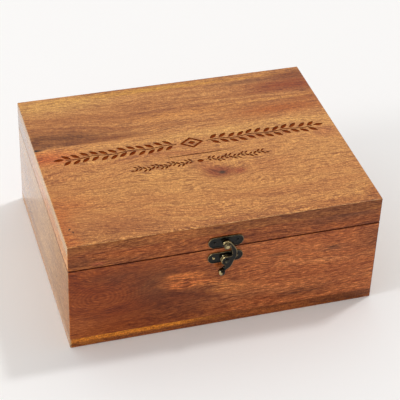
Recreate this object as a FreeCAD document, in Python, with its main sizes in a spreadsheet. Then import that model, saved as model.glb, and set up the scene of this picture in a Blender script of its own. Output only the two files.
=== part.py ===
"""Hinged keepsake box in solid acacia, with a swing-hook latch in antique bronze.

Frame: +X to the right along the front, +Y to the back, +Z up, millimetres.
The origin is the middle of the underside of the box, on the surface that it stands on.
"""
import FreeCAD, Part
import math
import os
import Sketcher

doc = FreeCAD.newDocument("keepsake_box")

# Driving dimensions: alias, value in millimetres (or a count), what it is.
SIZES = [
    ("box_width", 254.0, "outside length along the front, 10 inches"),
    ("box_depth", 203.2, "outside depth, front to back, 8 inches"),
    ("box_height", 101.6, "outside height with the lid closed, 4 inches"),
    ("wall_thickness", 10.0, "walls of the box and rails of the lid"),
    ("bottom_thickness", 9.0, "boards glued under the walls"),
    ("lid_thickness", 9.0, "boards glued over the lid rails"),
    ("rail_height", 14.2, "rails of the lid, seam to boards"),
    ("seam_gap", 0.7, "air between the walls and the closed lid"),
    ("lid_front_board", 129.0, "depth of the front one of the two lid boards"),
    ("bottom_front_board", 92.0, "depth of the front one of the two bottom boards"),
    ("corner_ease", 1.0, "radius of the upright corners"),
    ("outer_ease", 0.8, "radius of the outermost arrises of the boards"),
    ("seam_ease", 0.3, "bevel of the arrises along the seam"),
    ("hinge_inset", 52.0, "side of the box to the middle of each hinge"),
    ("hinge_length", 30.0, "length of a hinge along its pin"),
    ("leaf_reach", 8.0, "leaf from the back face into the wood"),
    ("leaf_thickness", 0.9, "plate of the leaves"),
    ("leaf_corner", 1.5, "radius of the leaf corners"),
    ("barrel_diameter", 3.8, "outside of the knuckles"),
    ("barrel_standoff", 0.3, "air between the knuckles and the back face"),
    ("knuckle_count", 3, "knuckles of a hinge, the outer ones on the box"),
    ("knuckle_gap", 0.2, "air between neighbouring knuckles"),
    ("pin_diameter", 1.8, "hinge pin"),
    ("pin_head", 3.0, "diameter of the button heads of the pin"),
    ("pin_head_rise", 0.7, "height of the button heads"),
    ("running_clearance", 0.05, "radial play of a pin in its bore"),
    ("mortise_clearance", 0.1, "air round a leaf in its mortise"),
    ("screw_head", 3.6, "diameter of the countersunk heads"),
    ("screw_shank", 2.0, "diameter of the screws over the thread"),
    ("screw_length", 8.0, "head face to point"),
    ("screw_spacing", 18.0, "between the two screws of a leaf"),
    ("screw_setback", 4.4, "back face to the screw axes"),
    ("hole_allowance", 0.5, "drilled past the end of a screw or nail"),
    ("latch_offset", -2.3, "middle of the box to the middle of the latch"),
    ("pivot_drop", 10.0, "top edge of the walls down to the hook pivot"),
    ("latch_throw", 15.1, "hook pivot to the peg above it"),
    ("plate_length", 28.8, "latch and catch plates, end to end"),
    ("plate_lobe", 5.0, "radius of the round ends of the plates"),
    ("plate_rise", 1.6, "pivot or peg up to the centre line of its plate"),
    ("plate_thickness", 1.2, "plates at their rim"),
    ("rim_width", 1.2, "raised rim round the plates"),
    ("rim_depth", 0.35, "fall from the rim to the field"),
    ("boss_radius", 4.3, "round boss of each plate"),
    ("hook_standoff", 2.4, "front of the wood to the back of the hook"),
    ("hook_clearance", 0.1, "hook to the boss behind it and the rivet before it"),
    ("hook_thickness", 2.2, "flat of the hook"),
    ("hook_bevel", 0.5, "bevel of the edges of the hook"),
    ("ball_radius", 3.0, "ball at the tail of the hook"),
    ("rivet_diameter", 2.6, "shank that the hook turns on"),
    ("rivet_head", 4.6, "diameter of the rivet head"),
    ("rivet_dome", 0.9, "height of the rivet head"),
    ("peg_stem", 1.6, "diameter of the peg through its plate"),
    ("peg_neck", 2.4, "diameter of the peg where the hook passes"),
    ("peg_collar", 4.8, "diameter of the collar at the foot of the peg"),
    ("peg_collar_rise", 0.7, "height of the collar"),
    ("peg_head", 5.8, "diameter of the head"),
    ("peg_dome", 1.6, "height of the head"),
    ("peg_clearance", 0.3, "front of the hook to the underside of the head"),
    ("nail_spacing", 18.9, "between the two nails of a plate"),
    ("nail_shank", 1.2, "diameter of the nails"),
    ("nail_head", 2.6, "diameter of the nail heads"),
    ("nail_dome", 0.8, "height of the nail heads"),
    ("nail_length", 7.0, "under the head to the end"),
]

# The rounds that the outline of the hook runs over, seen from the front: up the right side,
# over the peg to the tip, back along the inside to the hub, then down the tail to the ball.
# Each has its centre and radius; those marked peg are measured from the peg, the others from
# the pivot. The outline bends left round the first kind and right round the second.
LEFT, RIGHT = 1, -1
HOOK_ROUNDS = [
    ("shank", "pivot", -2.4, 6.5, 11.0, LEFT),
    ("crown", "peg", 0.0, 0.0, 4.3, LEFT),
    ("hook_tip", "peg", -3.0, 2.0, 0.7, LEFT),
    ("curl", "peg", 0.0, 0.0, 2.6, RIGHT),
    ("crook", "pivot", 3.1, 5.6, 1.3, RIGHT),
    ("hub", "pivot", 0.0, 0.0, 4.3, LEFT),
    ("nape", "pivot", -2.6, -5.3, 1.2, RIGHT),
    ("tail", "pivot", -4.0, -9.6, 2.0, LEFT),
    ("heel", "pivot", 0.3, -4.0, 4.4, LEFT),
]
for name, origin, across, up, radius, turn in HOOK_ROUNDS:
    SIZES.append((name + "_across", across, "%s to the right of the %s" % (name, origin)))
    SIZES.append((name + "_up", up, "%s above the %s" % (name, origin)))
    SIZES.append((name + "_radius", radius, "radius of the " + name))

sheet = doc.addObject("Spreadsheet::Sheet", "sizes")
for line, (alias, size, meaning) in enumerate(SIZES, start=1):
    sheet.set("A%d" % line, alias)
    sheet.set("B%d" % line, str(size))
    sheet.set("C%d" % line, meaning)
    sheet.setAlias("B%d" % line, alias)
doc.recompute()


def value(expression):
    return float(sheet.evalExpression(expression))


def bind(item, expressions):
    for name, expression in expressions.items():
        item.setExpression(name, expression)


def new_body(name):
    item = doc.addObject("PartDesign::Body", name)
    item.Label = name
    return item


AXES = {"X": FreeCAD.Vector(1, 0, 0), "Y": FreeCAD.Vector(0, 1, 0), "Z": FreeCAD.Vector(0, 0, 1)}


def place(item, x, y, z, axis="Z", quarters=0):
    """Puts a body at (x, y, z), turned by a number of quarter turns about an axis."""
    turn = FreeCAD.Rotation(AXES[axis], math.degrees(quarters * math.pi / 2))
    item.Placement = FreeCAD.Placement(FreeCAD.Vector(), turn)
    bind(item, {"Placement.Base.x": x, "Placement.Base.y": y, "Placement.Base.z": z})


def new_sketch(item, plane, name, lift=None):
    sketch = item.newObject("Sketcher::SketchObject", name)
    support = [part for part in item.Origin.OriginFeatures if part.Role == plane][0]
    sketch.AttachmentSupport = [(support, "")]
    sketch.MapMode = "FlatFace"
    if lift:
        sketch.setExpression("AttachmentOffset.Base.z", lift)
    return sketch


def hold(sketch, kind, expression, *where):
    index = sketch.addConstraint(Sketcher.Constraint(kind, *where, value(expression)))
    sketch.setExpression("Constraints[%d]" % index, expression)


def hold_point(sketch, geometry, vertex, x, y):
    hold(sketch, "DistanceX", x, -1, 1, geometry, vertex)
    hold(sketch, "DistanceY", y, -1, 1, geometry, vertex)


def circle(sketch, x, y, diameter):
    centre = FreeCAD.Vector(value(x), value(y), 0)
    shape = Part.Circle(centre, FreeCAD.Vector(0, 0, 1), value(diameter) / 2)
    geometry = sketch.addGeometry(shape, False)
    hold_point(sketch, geometry, 3, x, y)
    hold(sketch, "Diameter", diameter, geometry)


def arc_between(start, end, radius):
    """The short arc from start to end, turning left."""
    chord = end - start
    left = FreeCAD.Vector(-chord.y, chord.x, 0).normalize()
    rise = math.sqrt(max(radius ** 2 - chord.Length ** 2 / 4, 0.0))
    centre = (start + end) * 0.5 + left * rise
    first = math.atan2(start.y - centre.y, start.x - centre.x)
    last = math.atan2(end.y - centre.y, end.x - centre.x)
    return Part.ArcOfCircle(Part.Circle(centre, FreeCAD.Vector(0, 0, 1), radius), first, last)


def polygon(sketch, corners):
    """A closed outline through corners, each (x, y), or (x, y, radius) where a left-turning
    arc of that radius leads to it."""
    points = [FreeCAD.Vector(value(corner[0]), value(corner[1]), 0) for corner in corners]
    sides = []
    for number, corner in enumerate(corners):
        start = points[number - 1]
        if len(corner) == 3:
            shape = arc_between(start, points[number], value(corner[2]))
        else:
            shape = Part.LineSegment(start, points[number])
        sides.append(sketch.addGeometry(shape, False))
    for number, corner in enumerate(corners):
        following = sides[(number + 1) % len(sides)]
        sketch.addConstraint(Sketcher.Constraint("Coincident", sides[number], 2, following, 1))
        hold_point(sketch, sides[number], 2, corner[0], corner[1])
        if len(corner) == 3:
            hold(sketch, "Radius", corner[2], sides[number])


def belt(sketch, wheels):
    """A closed outline that runs round wheels, each (x, y, radius, turn), on straight tangents.
    The turn is LEFT or RIGHT, the way the outline bends round the wheel."""
    centres = [FreeCAD.Vector(value(wheel[0]), value(wheel[1]), 0) for wheel in wheels]
    reach = [value(wheel[2]) * wheel[3] for wheel in wheels]
    leave = []
    arrive = [None] * len(wheels)
    for number in range(len(wheels)):
        after = (number + 1) % len(wheels)
        span = centres[after] - centres[number]
        tilt = math.asin((reach[after] - reach[number]) / span.Length)
        heading = math.atan2(span.y, span.x) - tilt
        left = FreeCAD.Vector(-math.sin(heading), math.cos(heading), 0)
        leave.append(centres[number] - left * reach[number])
        arrive[after] = centres[after] - left * reach[after]
    arcs = []
    runs = []
    for number, wheel in enumerate(wheels):
        ends = [arrive[number], leave[number]]
        if wheel[3] == RIGHT:
            ends.reverse()
        angles = [math.atan2(end.y - centres[number].y, end.x - centres[number].x) for end in ends]
        rim = Part.Circle(centres[number], FreeCAD.Vector(0, 0, 1), value(wheel[2]))
        arcs.append(sketch.addGeometry(Part.ArcOfCircle(rim, *angles), False))
        run = Part.LineSegment(leave[number], arrive[(number + 1) % len(wheels)])
        runs.append(sketch.addGeometry(run, False))
    for number, wheel in enumerate(wheels):
        after = (number + 1) % len(wheels)
        last = 2 if wheel[3] == LEFT else 1
        first = 1 if wheels[after][3] == LEFT else 2
        hold_point(sketch, arcs[number], 3, wheel[0], wheel[1])
        hold(sketch, "Radius", wheel[2], arcs[number])
        sketch.addConstraint(Sketcher.Constraint("Tangent", arcs[number], last, runs[number], 1))
        sketch.addConstraint(Sketcher.Constraint("Tangent", runs[number], 2, arcs[after], first))


def pad(item, sketch, length, name, down=False):
    feature = item.newObject("PartDesign::Pad", name)
    feature.Profile = sketch
    feature.Reversed = down
    feature.setExpression("Length", length)
    return feature


def pocket(item, sketch, depth, name, up=False):
    feature = item.newObject("PartDesign::Pocket", name)
    feature.Profile = sketch
    feature.Reversed = up
    if depth == "through":
        feature.Type = "ThroughAll"
        feature.SideType = "Symmetric"
    else:
        feature.setExpression("Length", depth)
    return feature


def turned(item, name, corners):
    """Turns a half profile of (radius, height) corners about the upright axis of its body."""
    sketch = new_sketch(item, "XZ_Plane", name + "_profile")
    polygon(sketch, corners)
    feature = item.newObject("PartDesign::Revolution", name)
    feature.Profile = sketch
    feature.ReferenceAxis = (sketch, ["V_Axis"])
    feature.Angle = 360
    return feature


def in_a_row(item, originals, count, spacing, name):
    feature = item.newObject("PartDesign::LinearPattern", name)
    axis = [part for part in item.Origin.OriginFeatures if part.Role == "X_Axis"][0]
    feature.Originals = originals
    feature.Direction = (axis, [""])
    feature.Mode = "Spacing"
    bind(feature, {"Occurrences": count, "Offset": spacing})
    item.Tip = feature
    return feature


MATCH = 0.01  # two places closer than this are the same place


def ease(item, kind, size, name, belongs):
    """A Fillet or Chamfer on the edges of the last feature whose every point passes the test."""
    doc.recompute()
    blank = item.Tip
    names = []
    for number, edge in enumerate(blank.Shape.Edges, start=1):
        ends = edge.ParameterRange
        points = [edge.valueAt(ends[0] + (ends[1] - ends[0]) * step / 4) for step in range(5)]
        if all(belongs(point) for point in points):
            names.append("Edge%d" % number)
    feature = item.newObject("PartDesign::" + kind, name)
    feature.Base = (blank, names)
    feature.setExpression("Radius" if kind == "Fillet" else "Size", size)
    return feature


# Wood. Each board, wall and rail is drawn with its outer face on the local XZ plane,
# its length along X and its thickness or depth inward along +Y, and then turned to its side.

CORNER_SHARE = "(1 - cos(45 deg))"
SIDES = {
    "front": ("0", "-sizes.box_depth / 2", "sizes.box_width / 2"),
    "right": ("sizes.box_width / 2", "0", "sizes.box_depth / 2"),
    "back": ("0", "sizes.box_depth / 2", "sizes.box_width / 2"),
    "left": ("-sizes.box_width / 2", "0", "sizes.box_depth / 2"),
}
HINGE_MIDDLE = "(sizes.box_width / 2 - sizes.hinge_inset)"
LEFT_AND_RIGHT = {"left": "-", "right": ""}


def mitred_board(name, side, base, height):
    """A wall or rail with mitred ends, half of each rounded corner at its two outer edges."""
    x, y, half = SIDES[side]
    item = new_body(name)
    sketch = new_sketch(item, "XY_Plane", name + "_plan")
    wide = half + " - sizes.corner_ease * " + CORNER_SHARE
    straight = half + " - sizes.corner_ease"
    shoulder = "sizes.corner_ease * " + CORNER_SHARE
    inner = half + " - sizes.wall_thickness"
    polygon(sketch, [
        ("-(%s)" % wide, shoulder),
        ("-(%s)" % straight, "0", "sizes.corner_ease"),
        (straight, "0"),
        (wide, shoulder, "sizes.corner_ease"),
        (inner, "sizes.wall_thickness"),
        ("-(%s)" % inner, "sizes.wall_thickness"),
    ])
    pad(item, sketch, height, name + "_length")
    place(item, x, y, base, "Z", list(SIDES).index(side))
    return item


def ease_seam(item, level):
    near = value("sizes.corner_ease") + MATCH
    inside = value("sizes.wall_thickness")
    ease(item, "Chamfer", "sizes.seam_ease", item.Name + "_seam_arrises", lambda point: (
        abs(point.z - level) < MATCH and (point.y < near or abs(point.y - inside) < MATCH)))


def nail_holes(item, rise):
    """Pilot holes for the two nails of a plate, rise above the local base of the wood."""
    sketch = new_sketch(item, "XZ_Plane", item.Name + "_nail_marks")
    for sign in ("-", "+"):
        circle(sketch, "sizes.latch_offset %s sizes.nail_spacing / 2" % sign, rise,
               "sizes.nail_shank + 2 * sizes.running_clearance")
    depth = "sizes.nail_length - sizes.plate_thickness + sizes.rim_depth + sizes.hole_allowance"
    pocket(item, sketch, depth, item.Name + "_nail_holes")


def hinge_seats(item, level, up):
    """Two mortises and four pilot holes for the leaves let into a back edge of the wood."""
    seat = new_sketch(item, "XY_Plane", item.Name + "_mortise_plan", level)
    marks = new_sketch(item, "XY_Plane", item.Name + "_screw_marks", level)
    reach = "sizes.leaf_reach + sizes.mortise_clearance"
    half = "(sizes.hinge_length / 2 + sizes.mortise_clearance)"
    outside = "-sizes.barrel_diameter"
    for sign in LEFT_AND_RIGHT.values():
        middle = sign + HINGE_MIDDLE
        polygon(seat, [
            ("%s - %s" % (middle, half), outside),
            ("%s + %s" % (middle, half), outside),
            ("%s + %s" % (middle, half), reach),
            ("%s - %s" % (middle, half), reach),
        ])
        for step in ("-", "+"):
            circle(marks, "%s %s sizes.screw_spacing / 2" % (middle, step), "sizes.screw_setback",
                   "sizes.screw_shank + 2 * sizes.running_clearance")
    pocket(item, seat, "sizes.leaf_thickness", item.Name + "_mortises", up)
    pocket(item, marks, "sizes.screw_length + sizes.hole_allowance", item.Name + "_pilots", up)


def flat_board(name, side, base, depth, thickness, eased):
    """A board of the lid or the bottom: its outer long edge has the two rounded corners."""
    x, y, half = SIDES[side]
    item = new_body(name)
    sketch = new_sketch(item, "XY_Plane", name + "_plan")
    polygon(sketch, [
        ("-(%s)" % half, "sizes.corner_ease"),
        ("-(%s - sizes.corner_ease)" % half, "0", "sizes.corner_ease"),
        ("%s - sizes.corner_ease" % half, "0"),
        (half, "sizes.corner_ease", "sizes.corner_ease"),
        (half, depth),
        ("-(%s)" % half, depth),
    ])
    pad(item, sketch, thickness, name + "_board")
    place(item, x, y, base, "Z", list(SIDES).index(side))
    level = value(thickness) if eased == "top" else 0.0
    joint = value(depth)
    end = value(half)
    ease(item, "Fillet", "sizes.outer_ease", name + "_arrises", lambda point: (
        abs(point.z - level) < MATCH
        and (point.y < joint - MATCH or abs(point.x) > end - MATCH)))
    return item


LID_BOARD_BASE = "(sizes.box_height - sizes.lid_thickness)"
LID_BASE = "(%s - sizes.rail_height)" % LID_BOARD_BASE
WALL_TOP = "(%s - sizes.seam_gap)" % LID_BASE
WALL_HEIGHT = "(%s - sizes.bottom_thickness)" % WALL_TOP
PIVOT_HEIGHT = "(%s - sizes.pivot_drop)" % WALL_TOP
PEG_HEIGHT = "(%s + sizes.latch_throw)" % PIVOT_HEIGHT

for side in SIDES:
    wall = mitred_board(side + "_wall", side, "sizes.bottom_thickness", WALL_HEIGHT)
    ease_seam(wall, value(WALL_HEIGHT))
    rail = mitred_board("lid_%s_rail" % side, side, LID_BASE, "sizes.rail_height")
    ease_seam(rail, 0.0)
    if side == "front":
        nail_holes(wall, PIVOT_HEIGHT + " + sizes.plate_rise - sizes.bottom_thickness")
        nail_holes(rail, PEG_HEIGHT + " + sizes.plate_rise - " + LID_BASE)
    if side == "back":
        hinge_seats(wall, WALL_HEIGHT, up=False)
        hinge_seats(rail, "0", up=True)

flat_board("bottom_board_front", "front", "0", "sizes.bottom_front_board",
           "sizes.bottom_thickness", "bottom")
flat_board("bottom_board_rear", "back", "0", "sizes.box_depth - sizes.bottom_front_board",
           "sizes.bottom_thickness", "bottom")
flat_board("lid_board_front", "front", LID_BOARD_BASE, "sizes.lid_front_board",
           "sizes.lid_thickness", "top")
flat_board("lid_board_rear", "back", LID_BOARD_BASE, "sizes.box_depth - sizes.lid_front_board",
           "sizes.lid_thickness", "top")


# Hinges. A leaf is drawn with the pin along the local X axis and the wood towards -Y.
# The leaf of the lid is the same leaf rolled over, with the knuckles between those of the box.

KNUCKLE_LENGTH = ("((sizes.hinge_length - (sizes.knuckle_count - 1) * sizes.knuckle_gap)"
                  " / sizes.knuckle_count)")
KNUCKLE_PITCH = "(%s + sizes.knuckle_gap)" % KNUCKLE_LENGTH
AXIS_OFFSET = "(sizes.barrel_diameter / 2 + sizes.barrel_standoff)"
AXIS_HEIGHT = WALL_TOP + " + sizes.seam_gap / 2"
AXIS_Y = "sizes.box_depth / 2 + " + AXIS_OFFSET


def leaf(name, sign, first, count, quarters):
    """One leaf with its knuckles; first is the place of its first knuckle on the pin."""
    item = new_body(name)
    face = "-sizes.seam_gap / 2"
    plan = new_sketch(item, "XY_Plane", name + "_plan", face)
    half = "sizes.hinge_length / 2"
    inner = "-(%s + sizes.leaf_reach)" % AXIS_OFFSET
    polygon(plan, [
        (half, "-" + AXIS_OFFSET),
        ("-" + half, "-" + AXIS_OFFSET),
        ("-" + half, inner + " + sizes.leaf_corner"),
        ("-(%s - sizes.leaf_corner)" % half, inner, "sizes.leaf_corner"),
        (half + " - sizes.leaf_corner", inner),
        (half, inner + " + sizes.leaf_corner", "sizes.leaf_corner"),
    ])
    pad(item, plan, "sizes.leaf_thickness", name + "_plate", down=True)

    start = "-%s + %s * %d" % (half, KNUCKLE_PITCH, first)
    tongue_plan = new_sketch(item, "XY_Plane", name + "_tongue_plan", face)
    polygon(tongue_plan, [
        (start, "-%s - sizes.leaf_thickness" % AXIS_OFFSET),
        ("%s + %s" % (start, KNUCKLE_LENGTH), "-%s - sizes.leaf_thickness" % AXIS_OFFSET),
        ("%s + %s" % (start, KNUCKLE_LENGTH), "0"),
        (start, "0"),
    ])
    tongue = pad(item, tongue_plan, "sizes.leaf_thickness", name + "_tongue", down=True)
    roll_end = new_sketch(item, "YZ_Plane", name + "_knuckle_end", start)
    circle(roll_end, "0", "0", "sizes.barrel_diameter")
    knuckle = pad(item, roll_end, KNUCKLE_LENGTH, name + "_knuckle")
    in_a_row(item, [tongue, knuckle], count, "2 * " + KNUCKLE_PITCH, name + "_knuckles")

    bore_end = new_sketch(item, "YZ_Plane", name + "_bore_end")
    circle(bore_end, "0", "0", "sizes.pin_diameter + 2 * sizes.running_clearance")
    pocket(item, bore_end, "through", name + "_bore")

    marks = new_sketch(item, "XY_Plane", name + "_screw_marks", face)
    for step in ("-", ""):
        circle(marks, step + "sizes.screw_spacing / 2", "-%s - sizes.screw_setback" % AXIS_OFFSET,
               "sizes.screw_shank")
    doc.recompute()
    holes = item.newObject("PartDesign::Hole", name + "_screw_holes")
    holes.Profile = marks
    holes.DepthType = "ThroughAll"
    holes.HoleCutType = "Countersink"
    holes.HoleCutCountersinkAngle = 90
    bind(holes, {
        "Diameter": "sizes.screw_shank + 2 * sizes.running_clearance",
        "HoleCutDiameter": "sizes.screw_head + 2 * sizes.running_clearance",
    })
    place(item, sign + HINGE_MIDDLE, AXIS_Y, AXIS_HEIGHT, "Y", quarters)
    return item


def screws(name, sign, level, quarters):
    """The two countersunk screws of a leaf, head face up on the local XY plane."""
    item = new_body(name)
    screw = turned(item, name + "_screw", [
        ("0", "-sizes.screw_length"),
        ("sizes.screw_shank / 2", "-sizes.screw_length"),
        ("sizes.screw_shank / 2", "-(sizes.screw_head - sizes.screw_shank) / 2"),
        ("sizes.screw_head / 2", "0"),
        ("0", "0"),
    ])
    in_a_row(item, [screw], "2", "sizes.screw_spacing", name + "_pair")
    along = "-" if quarters == 0 else "+"
    place(item, "%s%s %s sizes.screw_spacing / 2" % (sign, HINGE_MIDDLE, along),
          "sizes.box_depth / 2 - sizes.screw_setback", level, "Y", quarters)
    return item


def hinge_pin(name, sign):
    """The pin of a hinge, with a button at each end."""
    item = new_body(name)
    end = "(sizes.hinge_length / 2 + 2 * sizes.running_clearance)"
    turned(item, name + "_round", [
        ("0", "-%s - sizes.pin_head_rise" % end),
        ("sizes.pin_head / 2", "-%s - sizes.pin_head_rise" % end),
        ("sizes.pin_head / 2", "-" + end),
        ("sizes.pin_diameter / 2", "-" + end),
        ("sizes.pin_diameter / 2", end),
        ("sizes.pin_head / 2", end),
        ("sizes.pin_head / 2", end + " + sizes.pin_head_rise"),
        ("0", end + " + sizes.pin_head_rise"),
    ])
    place(item, sign + HINGE_MIDDLE, AXIS_Y, AXIS_HEIGHT, "Y", 1)
    return item


box_knuckles = "ceil(sizes.knuckle_count / 2)"
lid_knuckles = "floor(sizes.knuckle_count / 2)"
for hand, sign in LEFT_AND_RIGHT.items():
    leaf(hand + "_hinge_box_leaf", sign, 0, box_knuckles, 0)
    leaf(hand + "_hinge_lid_leaf", sign, 1, lid_knuckles, 2)
    hinge_pin(hand + "_hinge_pin", sign)
    screws(hand + "_hinge_box_screws", sign, WALL_TOP, 0)
    screws(hand + "_hinge_lid_screws", sign, LID_BASE, 2)


# Latch. Its pieces are drawn on the local XZ plane, which lies on the front of the box,
# and rise from it towards -Y. Their origin is the hook pivot, or the peg for the catch.

FRONT_FACE = "-sizes.box_depth / 2"


def plate(name, height, boss_rise, bore):
    """A plate with round ends, a raised rim, a sunk field and a bored boss."""
    item = new_body(name)
    reach = "(sizes.plate_length / 2 - sizes.plate_lobe)"
    outline = new_sketch(item, "XZ_Plane", name + "_outline")
    belt(outline, [
        (reach, "sizes.plate_rise", "sizes.plate_lobe", LEFT),
        ("-" + reach, "sizes.plate_rise", "sizes.plate_lobe", LEFT),
    ])
    pad(item, outline, "sizes.plate_thickness", name + "_blank")
    field = new_sketch(item, "XZ_Plane", name + "_field_outline", "sizes.plate_thickness")
    belt(field, [
        (reach, "sizes.plate_rise", "sizes.plate_lobe - sizes.rim_width", LEFT),
        ("-" + reach, "sizes.plate_rise", "sizes.plate_lobe - sizes.rim_width", LEFT),
    ])
    pocket(item, field, "sizes.rim_depth", name + "_field")
    boss = new_sketch(item, "XZ_Plane", name + "_boss_outline")
    circle(boss, "0", "0", "2 * sizes.boss_radius")
    pad(item, boss, boss_rise, name + "_boss")
    holes = new_sketch(item, "XZ_Plane", name + "_holes_outline")
    circle(holes, "0", "0", bore)
    for side in ("-", ""):
        circle(holes, side + "sizes.nail_spacing / 2", "sizes.plate_rise",
               "sizes.nail_shank + 2 * sizes.running_clearance")
    pocket(item, holes, "through", name + "_holes")
    place(item, "sizes.latch_offset", FRONT_FACE, height)
    return item


def nail(name, side, height):
    """A bevelled nail through a plate, under the head on the sunk field."""
    item = new_body(name)
    turned(item, name + "_round", [
        ("0", "-sizes.nail_length"),
        ("sizes.nail_shank / 2", "-sizes.nail_length"),
        ("sizes.nail_shank / 2", "0"),
        ("sizes.nail_head / 2", "0"),
        ("sizes.nail_head / 2", "sizes.nail_dome / 3"),
        ("sizes.nail_head / 2 - sizes.nail_dome * 2 / 3", "sizes.nail_dome"),
        ("0", "sizes.nail_dome"),
    ])
    place(item, "sizes.latch_offset %s sizes.nail_spacing / 2" % side,
          FRONT_FACE + " - sizes.plate_thickness + sizes.rim_depth",
          height + " + sizes.plate_rise", "X", 1)
    return item


HOOK_FRONT = "(sizes.hook_standoff + sizes.hook_thickness)"
plate("catch_plate", PEG_HEIGHT, "sizes.plate_thickness",
      "sizes.peg_stem + 2 * sizes.running_clearance")
plate("latch_plate", PIVOT_HEIGHT, "sizes.hook_standoff - sizes.hook_clearance",
      "sizes.rivet_diameter + 2 * sizes.running_clearance")
for hand, side in {"left": "-", "right": "+"}.items():
    nail("catch_nail_" + hand, side, PEG_HEIGHT)
    nail("latch_nail_" + hand, side, PIVOT_HEIGHT)

peg = new_body("catch_peg")
peg_seat = "sizes.plate_thickness"
peg_under = "(%s + sizes.peg_clearance)" % HOOK_FRONT
peg_crown = "(sizes.peg_head / 2 - sizes.peg_dome / 2)"
turned(peg, "catch_peg_round", [
    ("0", "0"),
    ("sizes.peg_stem / 2", "0"),
    ("sizes.peg_stem / 2", peg_seat),
    ("sizes.peg_collar / 2", peg_seat),
    ("sizes.peg_collar / 2", peg_seat + " + sizes.peg_collar_rise / 2"),
    ("sizes.peg_neck / 2", peg_seat + " + sizes.peg_collar_rise"),
    ("sizes.peg_neck / 2", peg_under),
    ("sizes.peg_head / 2", peg_under),
    ("sizes.peg_head / 2", peg_under + " + sizes.peg_dome / 4"),
    (peg_crown, peg_under + " + sizes.peg_dome"),
    ("0", peg_under + " + sizes.peg_dome"),
])
place(peg, "sizes.latch_offset", FRONT_FACE, PEG_HEIGHT, "X", 1)

rivet = new_body("latch_rivet")
rivet_under = "(%s + sizes.hook_clearance)" % HOOK_FRONT
turned(rivet, "latch_rivet_round", [
    ("0", "0"),
    ("sizes.rivet_diameter / 2", "0"),
    ("sizes.rivet_diameter / 2", rivet_under),
    ("sizes.rivet_head / 2", rivet_under),
    ("sizes.rivet_head / 2 - sizes.rivet_dome", rivet_under + " + sizes.rivet_dome"),
    ("0", rivet_under + " + sizes.rivet_dome"),
])
place(rivet, "sizes.latch_offset", FRONT_FACE, PIVOT_HEIGHT, "X", 1)

ROUND_ORIGINS = {"pivot": "", "peg": "sizes.latch_throw + "}
hook_wheels = []
for name, origin, across, up, radius, turn in HOOK_ROUNDS:
    height = "%ssizes.%s_up" % (ROUND_ORIGINS[origin], name)
    hook_wheels.append(("sizes.%s_across" % name, height, "sizes.%s_radius" % name, turn))
hook = new_body("latch_hook")
hook_outline = new_sketch(hook, "XZ_Plane", "latch_hook_outline")
belt(hook_outline, hook_wheels)
pad(hook, hook_outline, "sizes.hook_thickness", "latch_hook_blank")
hook_face = -value("sizes.hook_thickness")
ease(hook, "Chamfer", "sizes.hook_bevel", "latch_hook_bevel", lambda point: (
    abs(point.y) < MATCH or abs(point.y - hook_face) < MATCH))
ball = hook.newObject("PartDesign::AdditiveSphere", "latch_hook_ball")
bind(ball, {
    "Radius": "sizes.ball_radius",
    "Placement.Base.x": "sizes.tail_across",
    "Placement.Base.y": "-sizes.ball_radius",
    "Placement.Base.z": "sizes.tail_up",
})
eye = new_sketch(hook, "XZ_Plane", "latch_hook_eye_outline")
circle(eye, "0", "0", "sizes.rivet_diameter + 2 * sizes.running_clearance")
pocket(hook, eye, "through", "latch_hook_eye")
place(hook, "sizes.latch_offset", FRONT_FACE + " - sizes.hook_standoff", PIVOT_HEIGHT)


doc.recompute()
for item in doc.Objects:
    if "Invalid" in item.State or "Error" in item.State:
        raise RuntimeError("%s did not compute: %s" % (item.Name, item.State))
os.makedirs("parts", exist_ok=True)
for item in doc.Objects:
    if item.TypeId != "PartDesign::Body":
        continue
    if item.Shape.isNull() or not item.Shape.isValid():
        raise RuntimeError("%s has no valid shape" % item.Label)
    item.Shape.exportStep("parts/%s.step" % item.Label)
    bounds = item.Shape.BoundBox
    print("%-24s %d solid(s), %8.1f mm3, x %.1f..%.1f, y %.1f..%.1f, z %.1f..%.1f" % (
        item.Label, len(item.Shape.Solids), item.Shape.Volume, bounds.XMin, bounds.XMax,
        bounds.YMin, bounds.YMax, bounds.ZMin, bounds.ZMax))
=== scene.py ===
import functools
import math

import bmesh
import bpy
from mathutils import Matrix, Vector


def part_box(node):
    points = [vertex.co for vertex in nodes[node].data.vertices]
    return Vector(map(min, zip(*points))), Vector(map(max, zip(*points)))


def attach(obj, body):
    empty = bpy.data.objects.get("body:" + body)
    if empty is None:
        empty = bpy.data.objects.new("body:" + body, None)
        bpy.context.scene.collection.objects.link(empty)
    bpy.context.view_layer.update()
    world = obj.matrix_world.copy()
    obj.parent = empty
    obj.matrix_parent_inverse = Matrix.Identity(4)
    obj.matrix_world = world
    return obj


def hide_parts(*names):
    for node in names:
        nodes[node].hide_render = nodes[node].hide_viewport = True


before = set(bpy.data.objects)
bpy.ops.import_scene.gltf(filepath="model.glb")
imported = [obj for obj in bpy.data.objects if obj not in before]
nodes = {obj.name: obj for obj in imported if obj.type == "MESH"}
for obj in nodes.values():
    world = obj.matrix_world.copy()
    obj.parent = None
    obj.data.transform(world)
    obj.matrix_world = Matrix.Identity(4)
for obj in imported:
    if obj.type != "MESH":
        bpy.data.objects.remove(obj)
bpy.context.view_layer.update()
mm = 0.001  # sizes in the dictionaries are in millimetres
weldGap = 0.001 * mm  # points nearer to each other than this are one point
creaseAngle = math.radians(35)  # faces that meet at less than this shade as one round
leftEnd, rightEnd = [corner[0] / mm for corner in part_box("lid_board_front")]  # of the whole box
frontEdge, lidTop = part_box("lid_board_front")[0][1] / mm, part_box("lid_board_front")[1][2] / mm


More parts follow.
